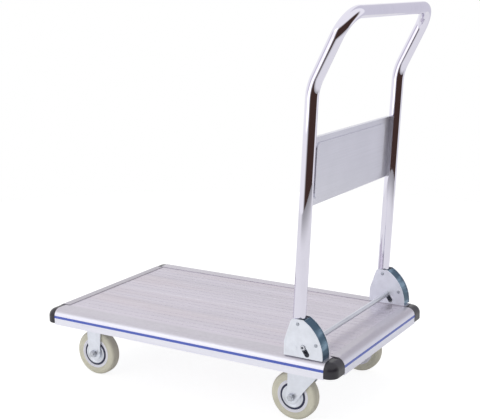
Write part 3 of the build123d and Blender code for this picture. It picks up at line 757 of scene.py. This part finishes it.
class CART_OT_hinge_screws(bpy.types.Operator):
    """Pan-head screws with a cross recess, that hold the hinges' bases"""
    bl_idname = "cart.hinge_screws"
    bl_label = "Hinge screws"

    def execute(self, context):
        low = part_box("hinge_screws")[0][2] / MM
        shank = [(0.6, low), (1.8, low + 1.4), (1.9, SCREW_SEAT - 0.2), (2.0, SCREW_SEAT)]
        head = [(3.5, 0.0), (3.6, 0.2), (3.4, 0.6), (2.8, 0.9), (1.4, 1.0)]
        profile = shank + [(radius, SCREW_SEAT + height) for radius, height in head]
        screw = turned("Screw", profile, segments=32)
        cut_cross(screw, RECESS_WIDTH, RECESS_REACH,
                  SCREW_SEAT + RECESS_FLOOR, SCREW_SEAT + RECESS_END)
        places = []
        for side in SIDES.values():
            for x in SCREW_X:
                for y in SCREW_Y:
                    turn = SCREW_FIRST_TURN + SCREW_NEXT_TURN * len(places)
                    places.append(((x * MM, side * y * MM, 0), (0, 0, turn)))
        screws = copies("hinge_screw_heads", screw, places)
        steel = machined_steel("Hinge screw steel", (0.72, 0.74, 0.78))
        settle(screws, "platform", steel)
        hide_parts("hinge_screws")
        return {"FINISHED"}


# ---------------------------------------------------------------- casters and wheels

class CART_OT_casters(bpy.types.Operator):
    """Forks, swivels, axles and hubs"""
    bl_idname = "cart.casters"
    bl_label = "Casters"

    def execute(self, context):
        zinc = shade_of("zinc")
        fork = zinc_plate("Fork zinc", zinc)
        steel = machined_steel("Caster steel", darker(zinc, 0.12))
        for side in SIDES:
            paint(fork, f"front_fork_{side}", f"swivel_fork_{side}", f"swivel_plate_{side}")
            paint(steel, f"swivel_axle_{side}", f"swivel_axle_sleeve_{side}")
        paint(steel, "front_axles", "front_axle_sleeves", "kingpins", "swivel_balls")
        hub = moulded_plastic("Hub plastic", shade_of("hub"), roughness=0.4)
        paint(hub, *[f"wheel_core_{name}" for name in WHEELS])
        return {"FINISHED"}


# The casters' bolts, in mm: their places on a plate, their sizes, how far the plate lies from
# their heads' ends and the bearer from their tips, and the nuts' tops above the bearer
BOLT_X = 43.0
BOLT_Y = 20.0
BOLT_SHANK = 2.95
BOLT_TIP = 2.4
BOLT_FLATS = 10.0
HEAD_REACH = 4.0
NUT_REACH = 7.0
NUT_TOP = 5.5
CASTER_PLATES = ("front_fork_near", "front_fork_far", "swivel_plate_near", "swivel_plate_far")


class CART_OT_caster_bolts(bpy.types.Operator):
    """Hexagon bolts and nuts, with washers, that hold the casters"""
    bl_idname = "cart.caster_bolts"
    bl_label = "Caster bolts"

    def execute(self, context):
        low, high = [corner[2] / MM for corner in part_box("caster_bolts")]
        plate = low + HEAD_REACH
        bearer = high - NUT_REACH
        head = hexagon("Bolt head", BOLT_FLATS, low, plate - 0.3)
        collar = turned("Bolt collar", [(4.6, plate - 0.4), (4.7, plate)], segments=40)
        shank_profile = [(BOLT_SHANK, plate - 0.1), (BOLT_SHANK, high - 0.6), (BOLT_TIP, high)]
        shank = turned("Bolt shank", shank_profile, segments=32)
        nut = hexagon("Bolt nut", BOLT_FLATS, bearer + 0.4, bearer + NUT_TOP)
        washer_profile = [(4.9, bearer), (5.0, bearer + 0.1), (4.9, bearer + 0.5)]
        washer = turned("Bolt washer", washer_profile, segments=40)
        bolt = joined("Bolt", head, collar, shank, nut, washer)
        places = [((centre.x + dx * MM, centre.y + dy * MM, 0), UPRIGHT)
                  for centre in map(middle, CASTER_PLATES)
                  for dx in (-BOLT_X, BOLT_X) for dy in (-BOLT_Y, BOLT_Y)]
        bolts = copies("caster_bolt_set", bolt, places)
        steel = machined_steel("Caster bolt steel", (0.78, 0.80, 0.84))
        settle(bolts, "platform", steel)
        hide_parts("caster_bolts")
        return {"FINISHED"}


# Profiles of a wheel's pieces, as radius and height from its middle plane in mm; a tyre's half
# profile runs over its bead and wall, an arc for its shoulder, and its tread
BEAD_PROFILE = [(31.0, 12.2), (31.5, 12.8), (32.6, 13.0), (33.8, 12.8), (34.3, 12.2)]
WALL_PROFILE = [(37.5, 12.05), (40.2, 12.3), (40.9, 12.8), (41.6, 12.98), (42.5, 13.0)]
TYRE_ARC_MIDDLE = (42.5, 5.5)
TYRE_ARC_REACH = (7.35, 7.5)
TYRE_ARC_STEPS = 8
TREAD_PROFILE = [(49.9, 1.2), (49.9, 0.45), (50.0, 0.15)]
RING_PROFILE = [(23.6, 9.0), (23.6, 12.2), (24.2, 12.8), (25.8, 13.0), (27.2, 12.8), (27.8, 12.4),
                (27.8, 12.02), (26.9, 12.02), (26.9, 9.0), (23.6, 9.0)]
COVER_PROFILE = [(12.2, 12.0), (12.2, 13.3), (12.7, 13.6), (13.4, 13.5), (14.2, 12.9),
                 (15.0, 12.7), (18.6, 12.7), (19.6, 13.1), (20.4, 13.7), (21.3, 13.8),
                 (22.6, 13.75), (23.2, 13.5), (23.45, 13.1), (23.45, 12.0), (12.2, 12.0)]


class CART_OT_tyres(bpy.types.Operator):
    """Tyres with rounded shoulders, moulded steps and a parting line round the tread"""
    bl_idname = "cart.tyres"
    bl_label = "Tyres"

    def execute(self, context):
        shoulder = []
        for step in range(1, TYRE_ARC_STEPS + 1):
            angle = pi / 2 * step / TYRE_ARC_STEPS
            shoulder.append((TYRE_ARC_MIDDLE[0] + TYRE_ARC_REACH[0] * sin(angle),
                             TYRE_ARC_MIDDLE[1] + TYRE_ARC_REACH[1] * cos(angle)))
        side = BEAD_PROFILE + WALL_PROFILE + shoulder + TREAD_PROFILE
        profile = side + [(radius, -height) for radius, height in reversed(side)]
        profile.append(profile[0])
        for name in WHEELS:
            centre = middle(f"tyre_{name}")
            tyre = turned(f"tyre_dressed_{name}", profile, segments=96, ring=True)
            tyre.location = centre
            tyre.rotation_euler = FACE_NEAR
            rubber = tyre_rubber(f"Tyre rubber {name}", shade_of("tyres"), centre)
            settle(tyre, f"wheel_{name}", rubber)
            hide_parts(f"tyre_{name}")
        return {"FINISHED"}


class CART_OT_wheel_rings(bpy.types.Operator):
    """A dark ring in the groove of each wheel's face, as painted shade for the groove"""
    bl_idname = "cart.wheel_rings"
    bl_label = "Wheel rings"

    def execute(self, context):
        material = moulded_plastic("Ring rubber", shade_of("ring"), roughness=0.35)
        for name in WHEELS:
            rings = on_both_faces(f"wheel_rings_{name}", RING_PROFILE, name)
            settle(rings, f"wheel_{name}", material)
        return {"FINISHED"}


class CART_OT_dust_covers(bpy.types.Operator):
    """Pressed covers with a raised rim, a dished face and a rolled collar round the hub"""
    bl_idname = "cart.dust_covers"
    bl_label = "Dust covers"

    def execute(self, context):
        material = zinc_plate("Dust cover zinc", darker(shade_of("zinc"), 0.03), 0.25)
        for name in WHEELS:
            covers = on_both_faces(f"dust_cover_pair_{name}", COVER_PROFILE, name)
            settle(covers, f"wheel_{name}", material)
            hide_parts(f"dust_covers_{name}")
        return {"FINISHED"}


def on_both_faces(name, profile, wheel):
    """Turn a closed profile and put it on both faces of a wheel."""
    centre = middle(f"tyre_{wheel}")
    original = turned(f"Original {name}", profile, segments=80, ring=True)
    return copies(name, original, [(centre, FACE_NEAR), (centre, FACE_FAR)])


# ---------------------------------------------------------------- handle

# The tube's middle line seen from the side, the arc that its feet are trimmed to with cuts at
# angles in degrees, and how many steps each run and bend has
PIVOT = Vector((254.139, 0.0, 171.7)) * MM
LEG_FOOT = Vector((253.475, 0.0, 157.6)) * MM
LEG_BEND = Vector((277.587, 0.0, 668.9)) * MM
GRIP = Vector((344.749, 0.0, 803.8)) * MM
FOOT_RADIUS = 13.1 * MM
FOOT_CUTS = (-60, -40, -20, 0, 20, 40, 60)
TUBE_SEGMENTS = 72
LEG_STEPS, BEND_STEPS, SLOPE_STEPS, CORNER_STEPS, GRIP_STEPS = 8, 16, 2, 24, 4


class CART_OT_handle_tube(bpy.types.Operator):
    """The handle: one bent tube from foot to foot"""
    bl_idname = "cart.handle_tube"
    bl_label = "Handle tube"

    def execute(self, context):
        bend = sizes().bend_radius
        corner = sizes().corner_radius
        across = Vector((0, 1, 0))
        lower = (LEG_BEND - LEG_FOOT).normalized()
        upper = (GRIP - LEG_BEND).normalized()
        lean = lower.angle(upper)
        bend_start = bend * tan(lean / 2)
        start = LEG_FOOT - across * LEG_Y * MM
        turn_out = across.cross(lower)
        turn_back = across.cross(upper)
        lower_run = (LEG_BEND - LEG_FOOT).length - bend_start
        upper_run = (GRIP - LEG_BEND).length - bend_start - corner
        grip_run = 2 * LEG_Y * MM - 2 * corner
        tilt = lower.to_track_quat("Z", "Y").to_euler()
        select_none()
        bpy.ops.mesh.primitive_circle_add(vertices=TUBE_SEGMENTS, radius=sizes().tube_radius,
                                          location=start, rotation=tilt)
        tube = named("handle_bent_tube")
        bpy.ops.object.mode_set(mode="EDIT")
        bpy.ops.mesh.select_all(action="SELECT")
        place = extrude_run(start, lower, lower_run, LEG_STEPS)
        place = bend_run(place, turn_out, across, bend, lean, BEND_STEPS)
        place = extrude_run(place, upper, upper_run, SLOPE_STEPS)
        grip_axis = upper.cross(across)
        place = bend_run(place, across, grip_axis, corner, pi / 2, CORNER_STEPS)
        place = extrude_run(place, across, grip_run, GRIP_STEPS)
        place = bend_run(place, -upper, grip_axis, corner, pi / 2, CORNER_STEPS)
        place = extrude_run(place, -upper, upper_run, SLOPE_STEPS)
        place = bend_run(place, turn_back, -across, bend, lean, BEND_STEPS)
        extrude_run(place, -lower, lower_run, LEG_STEPS)
        for angle in map(radians, FOOT_CUTS):
            way = Vector((sin(angle), 0, -cos(angle)))
            bpy.ops.mesh.select_all(action="SELECT")
            bpy.ops.mesh.bisect(plane_co=PIVOT + way * FOOT_RADIUS, plane_no=way,
                                clear_outer=True)
        repair_normals()
        bpy.ops.object.mode_set(mode="OBJECT")
        wall = tube.modifiers.new("Wall", "SOLIDIFY")
        wall.thickness = sizes().tube_wall
        wall.offset = -1.0
        select_only(tube)
        bpy.ops.object.modifier_apply(modifier=wall.name)
        chrome = chrome_plate("Handle chrome", shade_of("chrome"))
        settle(tube, "handle", chrome)
        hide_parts("handle_tube")
        return {"FINISHED"}


def extrude_run(place, way, run, steps):
    """In edit mode: extrude the selected ring straight on; returns the new ring's centre."""
    for _ in range(steps):
        bpy.ops.mesh.extrude_region_move(TRANSFORM_OT_translate={"value": way * (run / steps)})
    return place + way * run


def bend_run(place, inward, axis, radius, turn, steps):
    """In edit mode: spin the selected ring round a bend; returns the new ring's centre."""
    centre = place + inward * radius
    bpy.ops.mesh.spin(steps=steps, angle=-turn, center=centre, axis=axis)
    forward = axis.cross(-inward).normalized()
    return centre - inward * radius * cos(turn) + forward * radius * sin(turn)


class CART_OT_handle(bpy.types.Operator):
    """The panel between the legs, the plugs in their feet and the latches"""
    bl_idname = "cart.handle"
    bl_label = "Handle fittings"

    def execute(self, context):
        paint(satin_panel("Panel chrome", shade_of("panel")), "back_panel")
        paint(moulded_plastic("Plug plastic", (0.14, 0.14, 0.15)), "handle_foot_plugs")
        paint(machined_steel("Latch steel", (0.62, 0.63, 0.66)), "latch_plates")
        return {"FINISHED"}


# ---------------------------------------------------------------- stage

# The floor: its glow and its paint where it is seen, and its paint for other light; polished
# metal shows less of the glow, and least of it beyond a radius and between two bearings
FLOOR_GLOW = 0.86
FLOOR_SHARE = 0.30
FLOOR_MATT = 0.85
FLOOR_MIRROR_LOSS = 0.24
FLOOR_DIM_GLOW = 0.12
FLOOR_LIT_RADIUS = 1.45
FLOOR_DIM = (-40, 0, 118, 134)

# The white surround's share of light on the cart, and the room that polished metal shows: zones
# of bearings in degrees from the near side, zones of heights as a direction's Z, and colours
SURROUND_LIGHT = 0.62
DARK_BEARINGS = (-26, 8, 118, 134)
DARK_HEIGHTS = (-0.5, -0.4, 0.30, 0.55)
DARK_COLOUR = (0.27, 0.20, 0.18)
SIDE_BEARINGS = (-80, -62, -26, -8)
SIDE_HEIGHTS = (-0.09, 0.0, 0.3, 0.5)
SIDE_COLOUR = (0.82, 0.805, 0.84)
BACK_BEYOND = (-172, -164, 146, 153)
BACK_SHARE = 0.9
BACK_COLOUR = (0.84, 0.835, 0.87)

# The lamps, in metres and watts: place, aim, size, power, and whether polished metal shows them
LAMPS = {
    "Overhead lamp": ((-0.4, 0.3, 2.6), (0.0, 0.0, 0.2), 2.4, 26.0, False),
    "Near lamp": ((-1.2, -2.6, 1.2), (0.0, 0.0, 0.3), 2.2, 9.0, True),
    "Near fill lamp": ((-1.2, -2.6, 1.2), (0.0, 0.0, 0.3), 2.2, 15.0, False),
}

# The camera: what it looks at, its bearing and height as seen from there, and its distance
CAMERA_AIM = Vector((8.25, -5.1, 373.7)) * MM
CAMERA_BEARING = radians(30.5)
CAMERA_HEIGHT = radians(12.4)
CAMERA_DISTANCE = 2.301
CAMERA_LENS = 80.13
CAMERA_SENSOR = 36.0
CAMERA_RANGE = 50.0


class CART_OT_stage(bpy.types.Operator):
    """Floor, world, lamps and camera"""
    bl_idname = "cart.stage"
    bl_label = "Stage"

    def execute(self, context):
        select_none()
        bpy.ops.mesh.primitive_circle_add(vertices=128, radius=sizes().floor_radius,
                                          fill_type="NGON")
        floor = named("Floor")
        floor.data.materials.append(floor_paint())
        light_world(context.scene)
        for name, lamp in LAMPS.items():
            add_lamp(name, *lamp)
        add_camera(context.scene)
        context.scene.view_settings.view_transform = "Standard"
        return {"FINISHED"}


def floor_paint():
    """Matt and pale; what the camera sees of it is white, apart from the cart's faint shadow."""
    finish = Finish("Floor paint")
    x, y, _ = finish.axes()
    radius = (x ** 2 + y ** 2) ** 0.5
    rim = radius.between(FLOOR_LIT_RADIUS, sizes().floor_radius)
    unlit = rim * finish.bearing_zone(x, y, *FLOOR_DIM)
    dim_loss = FLOOR_GLOW - FLOOR_MIRROR_LOSS - FLOOR_DIM_GLOW
    level = FLOOR_GLOW - finish.mirrored() * (FLOOR_MIRROR_LOSS + unlit * dim_loss)
    glow = finish.node("ShaderNodeEmission", {}, {"Strength": level}).out()
    shadowed = finish.node("ShaderNodeBsdfDiffuse", {}, {"Color": grey(FLOOR_SHARE)}).out()
    white = finish.node("ShaderNodeAddShader", {}, {0: glow, 1: shadowed}).out()
    matt = finish.node("ShaderNodeBsdfDiffuse", {}, {"Color": grey(FLOOR_MATT)}).out()
    blend = finish.node("ShaderNodeMixShader", {}, {0: finish.seen(), 1: matt, 2: white}).out()
    finish.feed(finish.tree.nodes["Material Output"].inputs["Surface"], blend)
    return finish.material


def light_world(scene):
    """A white surround; polished metal also shows the dim side of a room and its greyer back."""
    world = bpy.data.worlds.new("Studio")
    scene.world = world
    world.use_nodes = True
    studio = Tree(world.node_tree)
    x, y, z = studio.split(studio.node("ShaderNodeTexCoord").out("Generated"))
    mirrored = studio.mirrored()

    dark = studio.bearing_zone(x, y, *DARK_BEARINGS) * z.zone(*DARK_HEIGHTS)
    side = studio.bearing_zone(x, y, *SIDE_BEARINGS) * z.zone(*SIDE_HEIGHTS)
    back = 1.0 - studio.bearing_zone(x, y, *BACK_BEYOND)

    level = SURROUND_LIGHT + studio.seen() * (1.0 - SURROUND_LIGHT)
    values = {0: (1.0, 1.0, 1.0), 3: level}
    white = studio.node("ShaderNodeVectorMath", {"operation": "SCALE"}, values).out()
    shown = studio.mix(back * mirrored * BACK_SHARE, white, BACK_COLOUR)
    shown = studio.mix(side * mirrored, shown, SIDE_COLOUR)
    shown = studio.mix(dark * mirrored, shown, DARK_COLOUR)
    background = world.node_tree.nodes["Background"]
    studio.feed(background.inputs["Color"], shown)
    studio.feed(background.inputs["Strength"], 1.0)


def add_lamp(name, place, aim, size, power, mirrored):
    """A large square lamp that points at a place."""
    select_none()
    heading = (Vector(aim) - Vector(place)).to_track_quat("-Z", "Y").to_euler()
    bpy.ops.object.light_add(type="AREA", location=place, rotation=heading)
    lamp = bpy.context.object
    lamp.name = name
    lamp.data.size = size
    lamp.data.energy = power
    lamp.visible_glossy = mirrored


def add_camera(scene):
    """The camera: where it looks, from which bearing and height, and how far away."""
    select_none()
    level = cos(CAMERA_HEIGHT)
    back = Vector((sin(CAMERA_BEARING) * level, -cos(CAMERA_BEARING) * level, sin(CAMERA_HEIGHT)))
    bpy.ops.object.camera_add(location=CAMERA_AIM + back * CAMERA_DISTANCE,
                              rotation=(-back).to_track_quat("-Z", "Y").to_euler())
    camera = bpy.context.object
    camera.data.lens = CAMERA_LENS
    camera.data.sensor_width = CAMERA_SENSOR
    camera.data.clip_end = CAMERA_RANGE
    scene.camera = camera


class CART_PT_panel(bpy.types.Panel):
    """Lists the cart's groups of pieces"""
    bl_idname = "CART_PT_panel"
    bl_label = "Platform cart"
    bl_space_type = "VIEW_3D"
    bl_region_type = "UI"
    bl_category = "Cart"

    def draw(self, context):
        for operator in OPERATORS:
            self.layout.operator(operator.bl_idname)
        for group in (context.scene.cart_sizes, context.scene.cart_colours):
            for name in group.__annotations__:
                self.layout.prop(group, name)


OPERATORS = (CART_OT_deck, CART_OT_bearer_rivets, CART_OT_hinges, CART_OT_hinge_rivets,
             CART_OT_hinge_screws, CART_OT_casters, CART_OT_caster_bolts, CART_OT_tyres,
             CART_OT_wheel_rings, CART_OT_dust_covers, CART_OT_handle_tube, CART_OT_handle,
             CART_OT_stage)
CLASSES = (CartColours, CartSizes) + OPERATORS + (CART_PT_panel,)


def register():
    for item in CLASSES:
        bpy.utils.register_class(item)
    bpy.types.Scene.cart_colours = bpy.props.PointerProperty(type=CartColours)
    bpy.types.Scene.cart_sizes = bpy.props.PointerProperty(type=CartSizes)


def unregister():
    del bpy.types.Scene.cart_sizes
    del bpy.types.Scene.cart_colours
    for item in reversed(CLASSES):
        bpy.utils.unregister_class(item)


def main():
    register()
    for operator in OPERATORS:
        group, name = operator.bl_idname.split(".")
        getattr(getattr(bpy.ops, group), name)()


if __name__ == "__main__":
    main()
